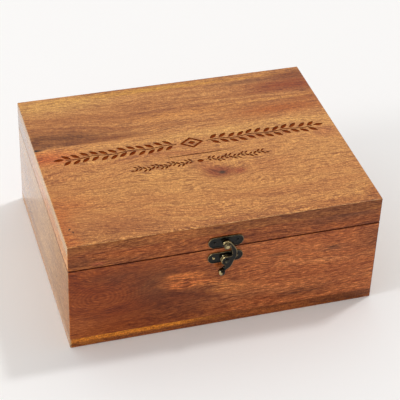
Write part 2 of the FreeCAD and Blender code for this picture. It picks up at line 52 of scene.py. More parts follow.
def linear(hexColour):  # sRGB hex to the linear values that shaders and lights take
    channels = [int(hexColour[i:i + 2], 16) / 255 for i in (1, 3, 5)]
    return [c / 12.92 if c <= 0.04045 else ((c + 0.055) / 1.055) ** 2.4 for c in channels] + [1.0]


def addNode(tree, kind, settings=None, links=None):
    node = tree.nodes.new(kind)
    for key, setting in (settings or {}).items():
        if isinstance(key, int) or key in node.inputs:
            node.inputs[key].default_value = setting
        else:
            setattr(node, key, setting)
    for key, source in (links or {}).items():
        tree.links.new(source, node.inputs[key])
    return node


def newMaterial(name, settings):
    material = bpy.data.materials.new(name)
    material.use_nodes = True
    shader = material.node_tree.nodes["Principled BSDF"]
    for key, setting in settings.items():
        shader.inputs[key].default_value = setting
    return material, material.node_tree, shader


def dress(name, material):
    mesh = nodes[name].data
    mesh.materials.clear()
    mesh.materials.append(material)


cameraView = {  # metres, degrees, and millimetres for the lens and the sensor
    "eye": (-0.2812, -0.9015, 0.7647), "turn": (52.8225, -1.8452, -16.3866),
    "lens": 126.306, "sensor": 36.0,
}
camera = bpy.data.objects.new("camera", bpy.data.cameras.new("camera"))
camera.location = cameraView["eye"]
camera.rotation_euler = [math.radians(turn) for turn in cameraView["turn"]]
camera.data.lens = cameraView["lens"]
camera.data.sensor_width = cameraView["sensor"]
bpy.context.scene.collection.objects.link(camera)
bpy.context.scene.camera = camera

studio = {  # a floor in metres, and a white sky that is dimmer towards the room in front
    "floorSize": 30.0, "floorColour": "#fafafa",
    "skyColour": "#ffffff", "roomColour": "#a39a90", "skyStrength": 0.88,
    "roomTowards": (0.35, -0.90, 0.25), "roomReach": (0.0, 0.8),
}
lamps = {  # direction from the box, distance and size in metres, power in watts; the fill gives no
    # glare, and the glint gives nothing else
    "key": {"towards": (0.4465, 0.1795, 0.8766), "distance": 6.0, "size": 0.54, "power": 85.0},
    "fill": {"towards": (-0.93, -0.12, 0.36), "distance": 4.0, "size": 0.8, "power": 52.0,
             "glossy": False},
    "glint": {"towards": (-0.66, -0.30, 0.69), "distance": 4.0, "size": 0.8, "power": 52.0,
              "diffuse": False},
}

floorMesh = bmesh.new()
bmesh.ops.create_grid(floorMesh, x_segments=1, y_segments=1, size=studio["floorSize"] / 2)
floor = bpy.data.objects.new("floor", bpy.data.meshes.new("floor"))
floorMesh.to_mesh(floor.data)
floorMesh.free()
bpy.context.scene.collection.objects.link(floor)
floor.data.materials.append(newMaterial("matt white paper", {
    "Base Color": linear(studio["floorColour"]), "Roughness": 0.8, "Specular IOR Level": 0.0})[0])

world = bpy.data.worlds.new("studio")
world.use_nodes = True
sky = world.node_tree.nodes["Background"]
facing = addNode(world.node_tree, "ShaderNodeVectorMath", {
    "operation": "DOT_PRODUCT", 1: Vector(studio["roomTowards"]).normalized()}, {
    0: addNode(world.node_tree, "ShaderNodeTexCoord").outputs["Generated"]})
share = addNode(world.node_tree, "ShaderNodeMapRange", {
    "interpolation_type": "SMOOTHSTEP", "From Min": studio["roomReach"][0],
    "From Max": studio["roomReach"][1]}, {"Value": facing.outputs["Value"]})
glow = addNode(world.node_tree, "ShaderNodeMixRGB", {
    "Color1": linear(studio["skyColour"]), "Color2": linear(studio["roomColour"])},
    {"Fac": share.outputs[0]})
world.node_tree.links.new(glow.outputs[0], sky.inputs["Color"])
sky.inputs["Strength"].default_value = studio["skyStrength"]
bpy.context.scene.world = world

for name, lamp in lamps.items():
    light = bpy.data.objects.new(name, bpy.data.lights.new(name, "AREA"))
    light.data.size = lamp["size"]
    light.data.energy = lamp["power"]
    towards = Vector(lamp["towards"]).normalized()
    light.location = towards * lamp["distance"]
    light.rotation_euler = towards.to_track_quat("Z", "Y").to_euler()
    light.visible_diffuse = lamp.get("diffuse", True)
    light.visible_glossy = lamp.get("glossy", True)
    bpy.context.scene.collection.objects.link(light)
bpy.context.scene.view_settings.view_transform = "Standard"
print("camera, floor and light placed")


# What all the boards share; each board adds its own seed, palette and marks. Sizes are in
# millimetres, along the board and across it. The fibres and pores of the real wood are 0.1 to
# 0.3 mm wide, which is too fine to show, so they are drawn 0.8 mm wide.
acaciaGrain = {
    "bands": (320.0, 12.0), "rings": (150.0, 2.2), "cloud": (60.0, 22.0),
    "fibre": (3.0, 0.8), "pores": (8.0, 0.8), "speckle": (1.1, 1.3),
    "coarseTears": (26.0, 3.0), "fineTears": (11.0, 1.2),  # what breaks up a mark
    "lines": 2.6,  # from one growth ring to the next round an eye
    "wave": (90.0, 30.0), "waveHeight": 4.0,  # long waves, and how far they push the grain
    "curl": (15.0, 10.0), "curlHeight": 0.35,  # and short ones
    "bandShare": 0.45, "ringShare": 0.30, "cloudShare": 0.25,
    "waveContrast": 0.25, "ringContrast": 0.14, "tearContrast": 0.14, "poreContrast": 0.12,
    "poreEdge": 0.3,  # the part of the noise that is pores
    "fibreDepth": 0.26, "poreDepth": 0.38, "speckleDepth": 0.26, "lineDepth": 0.16,
    "roughness": (0.40, 0.56), "sheen": 0.05, "coatRoughness": 0.22, "coatIOR": 1.27,
    "relief": 0.03, "reliefStrength": 0.6,
    "stain": "#957f80",  # what one step of depth multiplies the colour by
    "eyes": [], "grainShares": [], "axes": "XYZ",
}


noiseLook = {"roughness": 0.55, "step": (3.7, 11.3, 7.1)}  # the step is for one unit of seed
pastEnds, pastEdges, pastFaces = 900, 400, 1000  # reaches right along, across and through a board


def streaks(add, board, length, width, seed, detail=2.0, contrast=0.2):
    # noise drawn out along the grain, from 0 to 1; every seed gives another stretch of it
    shaped = add("ShaderNodeMapping", {"Scale": (1 / length, 1 / width, 1 / width),
                                       "Location": [seed * step for step in noiseLook["step"]]},
                 {"Vector": board})
    noise = add("ShaderNodeTexNoise", {"Scale": 1.0, "Detail": detail,
                                       "Roughness": noiseLook["roughness"]},
                {"Vector": shaped.outputs[0]})
    spread = add("ShaderNodeMapRange", {"From Min": 0.5 - contrast, "From Max": 0.5 + contrast},
                 {"Value": noise.outputs[0]})
    return spread.outputs[0]


def away(add, board, at, reach, turn=0.0):
    # distance from a place on the board, as a share of the given half sizes; a place or a reach
    # with no third value runs right through the board
    local = add("ShaderNodeMapping", {"vector_type": "TEXTURE", "Location": (*at, 0.0)[:3],
                                      "Rotation": (0.0, 0.0, math.radians(turn)),
                                      "Scale": (*reach, pastFaces)[:3]}, {"Vector": board})
    return add("ShaderNodeVectorMath", {"operation": "LENGTH"}, {0: local.outputs[0]}).outputs["Value"]


def spot(add, board, at, reach, turn=0.0, soft=1.0):
    # 1 inside a spot of the given half sizes, falling to 0 at its edge; it runs through the board
    mask = add("ShaderNodeMapRange", {"interpolation_type": "SMOOTHSTEP", "From Min": 1.0,
                                      "From Max": 1.0 - soft},
               {"Value": away(add, board, at, reach, turn)})
    return mask.outputs[0]


def boardAxes(add, axes):
    # the place on a board in millimetres: along it, across it and into it
    place = add("ShaderNodeTexCoord").outputs["Object"]
    scaled = add("ShaderNodeVectorMath", {"operation": "SCALE", "Scale": 1 / mm}, {0: place})
    split = add("ShaderNodeSeparateXYZ", links={0: scaled.outputs[0]})
    return [split.outputs[letter] for letter in axes]


def bentGrain(add, look, along, across, deep):
    # the board as it is, then with its broad grain and its fibres bent in slow waves and round
    # the eyes, and the growth rings that are cut lengthwise and show as ovals round an eye
    board = add("ShaderNodeCombineXYZ", links={0: along, 1: across, 2: deep}).outputs[0]
    wave = streaks(add, board, *look["wave"], look["seed"] + 0.3, detail=1.0,
                   contrast=look["waveContrast"])
    curl = streaks(add, board, *look["curl"], look["seed"] + 0.9, detail=1.0)
    lift = add("ShaderNodeMath", {"operation": "MULTIPLY_ADD", 1: 2 * look["waveHeight"]},
               {0: wave, 2: across})
    lift = add("ShaderNodeMath", {"operation": "MULTIPLY_ADD", 1: 2 * look["curlHeight"]},
               {0: curl, 2: lift.outputs[0]})
    fibreLift = lift
    ovals = []
    for eye in look["eyes"]:
        mask = spot(add, board, eye["at"], eye["reach"])
        if "ovals" in eye:
            far = away(add, board, eye["at"], eye["reach"])
            count = 2 * math.pi * eye["reach"][1] / look["lines"]
            turns = add("ShaderNodeMath", {"operation": "MULTIPLY"}, {0: wave, 1: far})
            turns = add("ShaderNodeMath", {"operation": "MULTIPLY_ADD", 1: 0.5},
                        {0: turns.outputs[0], 2: far})
            turns = add("ShaderNodeMath", {"operation": "MULTIPLY", 1: count}, {0: turns.outputs[0]})
            line = add("ShaderNodeMath", {"operation": "SINE"}, {0: turns.outputs[0]})
            line = add("ShaderNodeMath", {"operation": "MULTIPLY"}, {0: line.outputs[0], 1: mask})
            ovals.append((line.outputs[0], eye["ovals"]))
        lift = add("ShaderNodeMath", {"operation": "MULTIPLY_ADD", 1: eye["push"]},
                   {0: mask, 2: lift.outputs[0]})
        fibreLift = add("ShaderNodeMath", {"operation": "MULTIPLY_ADD", 1: eye["fibrePush"]},
                        {0: mask, 2: fibreLift.outputs[0]})
    bent, combed = [add("ShaderNodeCombineXYZ", links={0: along, 1: lifted.outputs[0], 2: deep})
                    for lifted in (lift, fibreLift)]
    return board, bent.outputs[0], combed.outputs[0], ovals


def broadColour(add, look, bent):
    # bands, growth rings and clouds, on one scale from dark to light
    bands = streaks(add, bent, *look["bands"], look["seed"] + 1.1)
    rings = streaks(add, bent, *look["rings"], look["seed"] + 2.7, contrast=look["ringContrast"])
    cloud = streaks(add, bent, *look["cloud"], look["seed"] + 4.9)
    darkest = 0.5 - 0.5 * (look["bandShare"] + look["ringShare"] + look["cloudShare"])
    tone = add("ShaderNodeMath", {"operation": "MULTIPLY_ADD", 1: look["bandShare"], 2: darkest},
               {0: bands})
    tone = add("ShaderNodeMath", {"operation": "MULTIPLY_ADD", 1: look["ringShare"]},
               {0: rings, 2: tone.outputs[0]})
    tone = add("ShaderNodeMath", {"operation": "MULTIPLY_ADD", 1: look["cloudShare"]},
               {0: cloud, 2: tone.outputs[0]})
    ramp = add("ShaderNodeValToRGB", links={0: tone.outputs[0]})
    stops = ramp.color_ramp.elements
    while len(stops) < len(look["palette"]):
        stops.new(0.5)
    for number, hexColour in enumerate(look["palette"]):
        stops[number].position = number / (len(look["palette"]) - 1)
        stops[number].color = linear(hexColour)
    return ramp.outputs[0]


def marked(add, look, board, bent, colour):
    # streaks, knots and spots that this board has in its own places
    tears = {"coarse": streaks(add, bent, *look["coarseTears"], look["seed"] + 6.1, detail=3.0),
             "fine": streaks(add, bent, *look["fineTears"], look["seed"] + 7.4,
                             contrast=look["tearContrast"])}
    for mark in look["marks"]:
        torn = mark.get("torn", 0.5)
        mask = spot(add, board, mark["at"], mark["reach"], mark.get("turn", 0.0),
                    mark.get("soft", 1.0))
        ragged = add("ShaderNodeMath", {"operation": "MULTIPLY_ADD", 1: torn, 2: 1.0 - torn / 2},
                     {0: tears[mark.get("ragged", "coarse")]})
        amount = add("ShaderNodeMath", {"operation": "MULTIPLY"}, {0: mask, 1: ragged.outputs[0]})
        amount = add("ShaderNodeMath", {"operation": "MULTIPLY", 1: mark["strength"],
                                        "use_clamp": True}, {0: amount.outputs[0]})
        mixed = add("ShaderNodeMixRGB", {"Color2": linear(mark["colour"]),
                                         "blend_type": mark.get("blend", "MIX")},
                    {"Fac": amount.outputs[0], "Color1": colour})
        colour = mixed.outputs[0]
    return colour


def fineGrain(add, look, board, combed, ovals):
    # fibres, open pores, the speckle of the figure and ovals, as more or less depth of colour
    fibre = streaks(add, combed, *look["fibre"], look["seed"] + 8.3, detail=3.0)
    pores = streaks(add, combed, *look["pores"], look["seed"] + 9.9, detail=1.0,
                    contrast=look["poreContrast"])
    speckle = streaks(add, combed, *look["speckle"], look["seed"] + 12.7)
    dark = add("ShaderNodeMapRange", {"From Min": 0.0, "From Max": look["poreEdge"],
                                      "To Min": look["poreDepth"], "To Max": 0.0}, {"Value": pores})
    depth = add("ShaderNodeMath", {"operation": "MULTIPLY_ADD", 1: -2 * look["fibreDepth"],
                                   2: look["fibreDepth"]}, {0: fibre})
    depth = add("ShaderNodeMath", {"operation": "ADD"}, {0: depth.outputs[0], 1: dark.outputs[0]})
    flecked = add("ShaderNodeMath", {"operation": "MULTIPLY_ADD", 1: 2 * look["speckleDepth"],
                                     2: -look["speckleDepth"]}, {0: speckle})
    depth = add("ShaderNodeMath", {"operation": "ADD"}, {0: depth.outputs[0], 1: flecked.outputs[0]})
    for place in look["grainShares"]:  # where the fine grain is fainter or stronger
        mask = spot(add, board, place["at"], place["reach"])
        scaled = add("ShaderNodeMapRange", {"To Min": 1.0, "To Max": place["share"]}, {"Value": mask})
        depth = add("ShaderNodeMath", {"operation": "MULTIPLY"},
                    {0: depth.outputs[0], 1: scaled.outputs[0]})
    for line, strength in ovals:
        depth = add("ShaderNodeMath", {"operation": "MULTIPLY_ADD", 1: strength * look["lineDepth"]},
                    {0: line, 2: depth.outputs[0]})
    return fibre, dark.outputs[0], depth.outputs[0]


def acacia(name, **changes):
    # Acacia, planed, sanded and oiled: bands of gold and red brown, darker open pores, a satin
    # film that glares at a flat angle.
    look = {**acaciaGrain, **changes}
    material, tree, shader = newMaterial(name, {
        "IOR": 1.5, "Specular IOR Level": look["sheen"], "Coat Weight": 1.0,
        "Coat Roughness": look["coatRoughness"], "Coat IOR": look["coatIOR"]})
    add = functools.partial(addNode, tree)
    along, across, deep = boardAxes(add, look["axes"])
    board, bent, combed, ovals = bentGrain(add, look, along, across, deep)
    colour = marked(add, look, board, bent, broadColour(add, look, bent))
    fibre, pores, depth = fineGrain(add, look, board, combed, ovals)
    stain = add("ShaderNodeGamma", {"Color": linear(look["stain"])}, {"Gamma": depth})
    stained = add("ShaderNodeMixRGB", {"blend_type": "MULTIPLY", "Fac": 1.0},
                  {"Color1": colour, "Color2": stain.outputs[0]})
    tree.links.new(stained.outputs[0], shader.inputs["Base Color"])
    if "coatEnds" in look:  # the oil film is thicker towards one end
        film = add("ShaderNodeMapRange", {
            "From Min": look["coatReach"][0], "From Max": look["coatReach"][1],
            "To Min": look["coatEnds"][0], "To Max": look["coatEnds"][1]}, {"Value": along})
        tree.links.new(film.outputs[0], shader.inputs["Coat Weight"])
    smooth, dull = look["roughness"]
    rough = add("ShaderNodeMapRange", {"To Min": dull, "To Max": smooth}, {"Value": fibre})
    tree.links.new(rough.outputs[0], shader.inputs["Roughness"])
    height = add("ShaderNodeMath", {"operation": "SUBTRACT"}, {0: fibre, 1: pores})
    bump = add("ShaderNodeBump", {"Distance": look["relief"] * mm,
                                  "Strength": look["reliefStrength"]}, {"Height": height.outputs[0]})
    tree.links.new(bump.outputs[0], shader.inputs["Normal"])
    return material


# A mark is a spot of colour, with its place and half sizes on the board: torn says how far noise
# breaks it up, and ragged which noise. An eye pushes the grain and its fibres aside, by so many
# millimetres at its middle.
# painted shade: a dark band on the eased right-hand arris, as if that edge faced away from the light
rightArrisShade = {"colour": "#4a2a18", "strength": 1.2, "torn": 0.3}
lidRearLook = {
    "seed": 1.0, "fibre": (4.5, 0.8), "pores": (11.0, 0.8), "speckleDepth": 0.2,
    "palette": ["#8c4f29", "#aa6833", "#be7d41", "#cc8c4c", "#dd9f56"],
    "marks": [
        {"at": (-105, 87), "reach": (90, 22), "colour": "#c88f4e", "strength": 0.9, "torn": 0.9},
        {"at": (-100, 90), "reach": (85, 13), "colour": "#dca355", "strength": 0.65, "torn": 2.0,
         "ragged": "fine"},
        {"at": (-20, 95), "reach": (110, 6), "colour": "#cd9138", "strength": 0.9},
        {"at": (72, 94), "reach": (75, 2.4), "colour": "#d28e34", "strength": 0.8},
        {"at": (20, 101.5), "reach": (140, 2.2), "colour": "#804623", "strength": 0.8},
        {"at": (115, 76), "reach": (85, 18), "colour": "#934311", "strength": 1.1},
        {"at": (85, 88), "reach": (75, 5), "colour": "#7d4522", "strength": 0.7},
        {"at": (116, 91), "reach": (34, 13), "colour": "#86400f", "strength": 0.8},
        {"at": (15, 52), "reach": (95, 10), "colour": "#cf873f", "strength": 0.55},
        {"at": (122, 52), "reach": (34, 12), "colour": "#a2500f", "strength": 0.6},
        {"at": (85, 56.5), "reach": (75, 3.0), "colour": "#d89348", "strength": 0.8},
        {"at": (95, 41), "reach": (85, 13), "colour": "#aa5617", "strength": 1.0},
        {"at": (-120, 40), "reach": (95, 17), "turn": -4, "torn": 1.2,
         "colour": "#7c4519", "strength": 1.1},
        {"at": (-60, 31), "reach": (62, 7), "turn": -2, "colour": "#8b4c1d", "strength": 0.9},
        {"at": (-115, 30), "reach": (34, 7), "colour": "#6e3a17", "strength": 0.6},
        {"at": (96, 57), "reach": (1.1, 0.9), "colour": "#2c1a10", "strength": 1.0, "torn": 0.0},
        {"at": (-128, 27.8), "reach": (11, 0.9), "colour": "#2c1a10", "strength": 1.5, "torn": 0.3},
        # painted sheen: the left end is drawn pale, like the glare on the left side
        {"at": (leftEnd, 60), "reach": (0.8, pastEdges), "colour": "#b48e68", "strength": 1.6,
         "torn": 0.3},
    ],
    "eyes": [{"at": (-140, 62), "reach": (120, 55), "push": -14.0, "fibrePush": -10.0}],
}
lidFrontLook = {
    "seed": 2.0,
    "palette": ["#a05c2f", "#b8733c", "#c68547", "#d39551", "#e2ab61"],
    "bandShare": 0.25, "ringShare": 0.19, "curl": (40.0, 18.0), "curlHeight": 3.0,
    "fibre": (4.5, 0.8), "pores": (10.0, 0.8), "speckleDepth": 0.22,
    "grainShares": [{"at": (0, -110), "reach": (260, 52), "share": 1.5}],
    "marks": [
        {"at": (-35, -30), "reach": (70, 30), "colour": "#d3964f", "strength": 0.4},
        {"at": (-118, -50), "reach": (46, 26), "colour": "#b8652b", "strength": 0.6},
        {"at": (92, -98), "reach": (70, 13), "colour": "#a65d2a", "strength": 0.7},
        {"at": (126, -90), "reach": (18, 18), "colour": "#9c4d1b", "strength": 0.6},
        {"at": (-122, -96), "reach": (24, 14), "colour": "#9c4f1e", "strength": 0.6},
        {"at": (35, 20), "reach": (115, 12), "colour": "#d49a54", "strength": 0.7},
        {"at": (-118, 14), "reach": (40, 18), "colour": "#c4652c", "strength": 1.0},
        {"at": (leftEnd, -82), "reach": (19, 50), "colour": "#bd6428", "strength": 0.9},
        {"at": (-80, -86), "reach": (85, 22), "turn": -12, "colour": "#b36c39", "strength": 0.7},
        {"at": (-85, -88), "reach": (60, 20), "turn": -8, "colour": "#8f5026", "strength": 0.35,
         "torn": 2.0, "ragged": "fine"},
        {"at": (10, -97), "reach": (70, 9), "colour": "#a45f31", "strength": 0.7},
        {"at": (56, -38), "reach": (26, 15), "colour": "#b46a37", "strength": 0.3},
        {"at": (116, 0), "reach": (18, 12), "colour": "#ac6335", "strength": 0.8},
        {"at": (4, -27), "reach": (22, 13), "turn": -35, "colour": "#ad6535", "strength": 0.8},
        {"at": (13, -36), "reach": (23, 13), "colour": "#954d25", "strength": 1.3},
        {"at": (29, -38), "reach": (10, 7), "colour": "#a15127", "strength": 1.0},
        {"at": (14, -37), "reach": (5, 3.4), "colour": "#4e2d18", "strength": 1.2},
        {"at": (-128, 26.6), "reach": (14, 1.6), "colour": "#2c1a10", "strength": 1.5, "torn": 0.3},
        {"at": (-120.5, -80), "reach": (2.2, 1.2), "turn": 40, "colour": "#4a2a16", "strength": 1.4,
         "torn": 0.0},
        {"at": (-118.5, -84), "reach": (1.2, 2.0), "colour": "#4a2a16", "strength": 1.2, "torn": 0.0},
        *[{"at": place, "reach": (1.1, 0.8), "colour": "#5a3218", "strength": 1.2, "torn": 0.0}
          for place in ((-81, -43), (-50, -32), (122, 2), (121.5, -79), (-39, -1))],
        # painted sheen: the left end is drawn pale, like the glare on the left side
        {"at": (leftEnd, -40), "reach": (0.8, pastEdges), "colour": "#c4965f", "strength": 1.6,
         "torn": 0.3},
        # painted highlight along the worn front top arris of the lid
        {"at": (0, frontEdge), "reach": (pastEnds, 0.6), "colour": "#e0b380", "strength": 1.4,
         "torn": 1.6},
    ],
    "eyes": [{"at": (14, -37), "reach": (34, 20), "push": 11.0, "fibrePush": 9.0},
             {"at": (-160, -112), "reach": (250, 100), "push": -42.0, "fibrePush": -36.0}],
}
frontWallLook = {
    "axes": "XZY", "curl": (20.0, 10.0), "curlHeight": 1.0,
    "fibre": (4.5, 0.8), "pores": (14.0, 0.8), "fibreDepth": 0.46, "poreDepth": 0.45,
    "speckleDepth": 0.16, "bandShare": 0.38, "ringShare": 0.26,
    "grainShares": [{"at": (-105, 42), "reach": (105, 80), "share": 0.6}],
    "palette": ["#9c4f24", "#b15d2d", "#c16c37", "#cc7942", "#d8884d"],
    "marks": [
        {"at": (-105, 42), "reach": (150, 90), "colour": "#ccae82", "strength": 1.3, "torn": 0.1,
         "blend": "MULTIPLY"},
        {"at": (-35, 36), "reach": (62, 46), "colour": "#cdc5c0", "strength": 1.5, "torn": 0.2,
         "blend": "MULTIPLY"},
        {"at": (-57, 52), "reach": (30, 26), "colour": "#854925", "strength": 1.0, "torn": 0.6},
        {"at": (-95, 66), "reach": (34, 7), "colour": "#854925", "strength": 0.5, "torn": 0.7},
        {"at": (-82, 64), "reach": (36, 17), "colour": "#7d3f1f", "strength": 0.6},
        {"at": (-124, 20), "reach": (38, 20), "colour": "#b4612b", "strength": 0.9},
        {"at": (18, 25), "reach": (24, 10), "colour": "#98532a", "strength": 0.8},
        {"at": (124, 62), "reach": (26, 26), "colour": "#8c4c26", "strength": 0.6},
        {**rightArrisShade, "at": (rightEnd, 40), "reach": (1.1, pastEdges)},
        {"at": (-34, 55), "reach": (26, 6), "colour": "#e2823f", "strength": 1.4, "torn": 2.0,
         "ragged": "fine"},
        {"at": (-28, 46), "reach": (34, 9), "turn": -8, "colour": "#dc7a3b", "strength": 1.2,
         "torn": 2.0, "ragged": "fine"},
        {"at": (0, 38), "reach": (40, 10), "turn": -10, "colour": "#e28d49", "strength": 0.7,
         "torn": 2.0, "ragged": "fine"},
        {"at": (-22, 40), "reach": (26, 7), "colour": "#754021", "strength": 0.6, "torn": 1.6,
         "ragged": "fine"},
        {"at": (65, 19), "reach": (40, 7), "colour": "#854b2a", "strength": 0.8, "torn": 1.6,
         "ragged": "fine"},
        {"at": (42, 62), "reach": (14, 3), "colour": "#854b2a", "strength": 0.8, "torn": 1.4,
         "ragged": "fine"},
        {"at": (91, 60), "reach": (18, 4), "colour": "#854b2a", "strength": 0.8, "torn": 1.4,
         "ragged": "fine"},
    ],
    "eyes": [{"at": (-102, 48), "reach": (56, 40), "push": 24.0, "fibrePush": 8.0, "ovals": 1.0}],
}
backWallLook = {
    "axes": "XZY", "curl": (20.0, 10.0), "curlHeight": 1.0,
    "palette": ["#7d4524", "#93552e", "#a66536", "#b67440", "#c68449"],
    "marks": [
        {"at": (80, 30), "reach": (90, 14), "turn": 4, "colour": "#c98a4c", "strength": 0.6,
         "torn": 1.6, "ragged": "fine"},
        {"at": (-60, 60), "reach": (110, 12), "turn": -3, "colour": "#83451f", "strength": 0.7,
         "torn": 1.0},
        {"at": (20, 18), "reach": (60, 6), "colour": "#7c4423", "strength": 0.6, "torn": 1.6,
         "ragged": "fine"},
    ],
    "eyes": [{"at": (62, 34), "reach": (60, 24), "push": -12.0, "fibrePush": -5.0}],
}
railGrain = {"axes": "XZY", "fibre": (4.5, 0.8), "pores": (12.0, 0.8),
             "fibreDepth": 0.48, "poreDepth": 0.50, "speckleDepth": 0.16}
lidRailLook = {
    **railGrain,
    "palette": ["#753a19", "#914922", "#a95a29", "#bb6c34", "#cc7e3f"],
    "marks": [
        {"at": (-120, 85), "reach": (60, 9), "colour": "#7a3f1c", "strength": 0.9},
        {"at": (-38, 87), "reach": (26, 12), "colour": "#bd6f38", "strength": 0.4},
        {"at": (75, 88), "reach": (70, 14), "colour": "#7f4526", "strength": 0.35},
        {"at": (-104, 82), "reach": (9, 2.6), "colour": "#cb6c41", "strength": 0.9},
        {"at": (-80, 88), "reach": (45, 6), "colour": "#c0662c", "strength": 0.6},
        {"at": (-78, 80), "reach": (34, 7), "colour": "#884622", "strength": 0.6},
        {"at": (104, 80), "reach": (52, 7), "colour": "#7a4324", "strength": 0.5},
        {"at": (90, 82), "reach": (50, 5), "colour": "#b86029", "strength": 0.8},
        {"at": (100, 91), "reach": (60, 6), "colour": "#7c4628", "strength": 0.8},
        {**rightArrisShade, "at": (rightEnd, 85), "reach": (0.9, pastEdges)},
    ],
}
lidEdgeLook = {
    **railGrain, "seed": 4.5,
    "palette": ["#703c1b", "#894b23", "#9e5b2a", "#b06a33", "#c37d40"],
    "marks": [
        {"at": (-45, 98), "reach": (36, 7), "colour": "#c4753c", "strength": 1.0},
        {"at": (-100, 94), "reach": (45, 5), "colour": "#b46331", "strength": 0.7},
        {"at": (70, 99), "reach": (90, 8), "colour": "#894d28", "strength": 0.8},
        # painted highlight along the worn top arris of the lid's front face
        {"at": (0, lidTop), "reach": (pastEnds, 0.5), "colour": "#d9a772", "strength": 1.2,
         "torn": 1.6},
        {**rightArrisShade, "at": (rightEnd, 97), "reach": (0.9, pastEdges)},
    ],
}
sideWallLook = {
    "axes": "YZX", "stain": "#938274", "sheen": 0.3, "coatRoughness": 0.12, "coatIOR": 1.5,
    "coatEnds": (0.25, 1.0), "coatReach": (-95.0, 85.0),
    "palette": ["#754821", "#8b5929", "#9f6b33", "#ae7c40", "#bb8d51"],
    "marks": [
        {"at": (-5, 42), "reach": (75, 60), "colour": "#cb9e68", "strength": 0.55},
        {"at": (-104, 34), "reach": (44, 50), "colour": "#a8622c", "strength": 0.5},
    ],
}
sideRailLook = {
    **sideWallLook,
    "palette": ["#8e5223", "#a9662e", "#c07a39", "#cf8c48", "#db9d5a"],
    "marks": [{"at": (105, 86), "reach": (120, 60), "colour": "#7d522c", "strength": 1.1}],
}
bottomLook = {
    "axes": "XZY", "bands": (160.0, 4.0), "rings": (70.0, 1.4),
    "wave": (60.0, 30.0), "waveHeight": 1.0,
    "palette": ["#6a3616", "#86471e", "#9f5626", "#b3632b", "#ca7534"],
    "marks": [
        {"at": (-80, 7.6, -102), "reach": (100, 4.4, 20), "colour": "#ee9330", "strength": 1.6,
         "torn": 0.5},
        {"at": (-112, 3.0, -102), "reach": (24, 4.0, 20), "colour": "#c67526", "strength": 0.6},
        {"at": (105, 4.5), "reach": (60, 8), "colour": "#683416", "strength": 0.8},
        {"at": (leftEnd, 5.5, -96), "reach": (2, 6, 34), "colour": "#dc9a38", "strength": 1.0},
        # painted sheen: the left end is drawn pale, like the glare on the left side
        {"at": (leftEnd, 4.5), "reach": (1.6, 60), "colour": "#b08a62", "strength": 1.4, "torn": 0.2},
        {"at": (0, 4.5, 0), "reach": (pastEnds, 90, -frontEdge - 0.2),  # all but the front face
         "colour": "#b9824c", "strength": 0.7, "torn": 0.6, "soft": 0.01},
    ],
}
# painted shade: a dark band along the seam between each wall and its lid rail
seamShade = {"colour": "#6a2e12", "strength": 1.2, "torn": 0.3, "soft": 0.6,
            "height": 0.45, "depth": 1.3, "sideReach": 130.0}


def seam(node, outer, mouth):
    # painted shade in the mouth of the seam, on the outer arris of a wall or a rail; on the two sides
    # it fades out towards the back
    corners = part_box(node)
    depth = corners["-+".index(outer[1])]["XY".index(outer[0])] / mm
    height = corners[1 if mouth == "top" else 0][2] / mm
    start, reach = (0.0, pastEnds) if outer[0] == "Y" else (frontEdge, seamShade["sideReach"])
    return {**seamShade, "at": (start, height, depth),
            "reach": (reach, seamShade["height"], seamShade["depth"])}


dress("lid_board_rear", acacia("oiled acacia, rear lid board", **lidRearLook))
sideLooks = {  # the look of each wall, that of the rail above it, their seeds, the side that shows
    "front": (frontWallLook, lidRailLook, 3.0, 4.0, "Y-"),
    "back": (backWallLook, lidRailLook, 7.0, 8.0, "Y+"),
    "left": (sideWallLook, sideRailLook, 9.0, 14.0, "X-"),
    "right": (sideWallLook, sideRailLook, 10.0, 15.0, "X+"),
}
for side, (wallLook, railLook, wallSeed, railSeed, outer) in sideLooks.items():
    for node, look, seed, mouth in ((side + "_wall", wallLook, wallSeed, "top"),
                                    ("lid_%s_rail" % side, railLook, railSeed, "foot")):
        marks = look["marks"] + [seam(node, outer, mouth)]
        dress(node, acacia("oiled acacia, " + node.replace("_", " "),
                           **{**look, "seed": seed, "marks": marks}))
for part, seed in {"front": 16.0, "rear": 17.0}.items():
    dress("bottom_board_" + part,
          acacia("oiled acacia, %s bottom board" % part, **{**bottomLook, "seed": seed}))
print("wood finished")


def newPiece(name, shape, body, replaced, materials):
    # puts a finished shape in the scene, in place of the nodes it replaces
    mesh = bpy.data.meshes.new(name)
    shape.to_mesh(mesh)
    shape.free()
    piece = bpy.data.objects.new(name, mesh)
    bpy.context.scene.collection.objects.link(piece)
    for material in materials:
        mesh.materials.append(material)
    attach(piece, body)
    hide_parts(*replaced)


def mergedCopy(node):  # a node's mesh is loose triangles, and here they are joined
    shape = bmesh.new()
    shape.from_mesh(nodes[node].data)
    bmesh.ops.remove_doubles(shape, verts=shape.verts, dist=weldGap)
    return shape


# The ornament burnt into the lid, in millimetres on the front lid board: a laurel band with a
# lozenge in its middle, a fine rule and a small running vine. Laurel and vine run from start to
# end on both sides of the centre.
ornament = {
    "depth": 0.4, "clear": 1.0, "centre": 1.5,
    "floorColour": "#833b10", "wallColour": "#54260a",
    "firstLeaf": 0.55, "leafSet": 0.3, "tipSet": 0.62,  # shares of a step and of a leaf
    "laurel": {"at": 8.9, "start": 13.0, "end": 106.0, "stem": 1.0, "sway": 0.9, "wave": 31.0,
               "step": 7.75, "leaf": (9.0, 3.5), "lean": 38.0, "offset": 4.0},
    "lozenge": {"at": 8.9, "half": (10.5, 7.7), "line": 2.0, "heart": (3.4, 2.5)},
    "rule": {"at": -7.6, "reach": 29.0, "line": 0.9, "tip": 0.15},
    "vine": {"at": -17.5, "start": 5.0, "end": 54.0, "stem": 0.6, "sway": 1.5, "wave": 14.0,
             "step": 3.5, "leaf": (4.4, 1.7), "lean": 42.0, "offset": 1.9, "bud": (6.0, 4.0)},
}


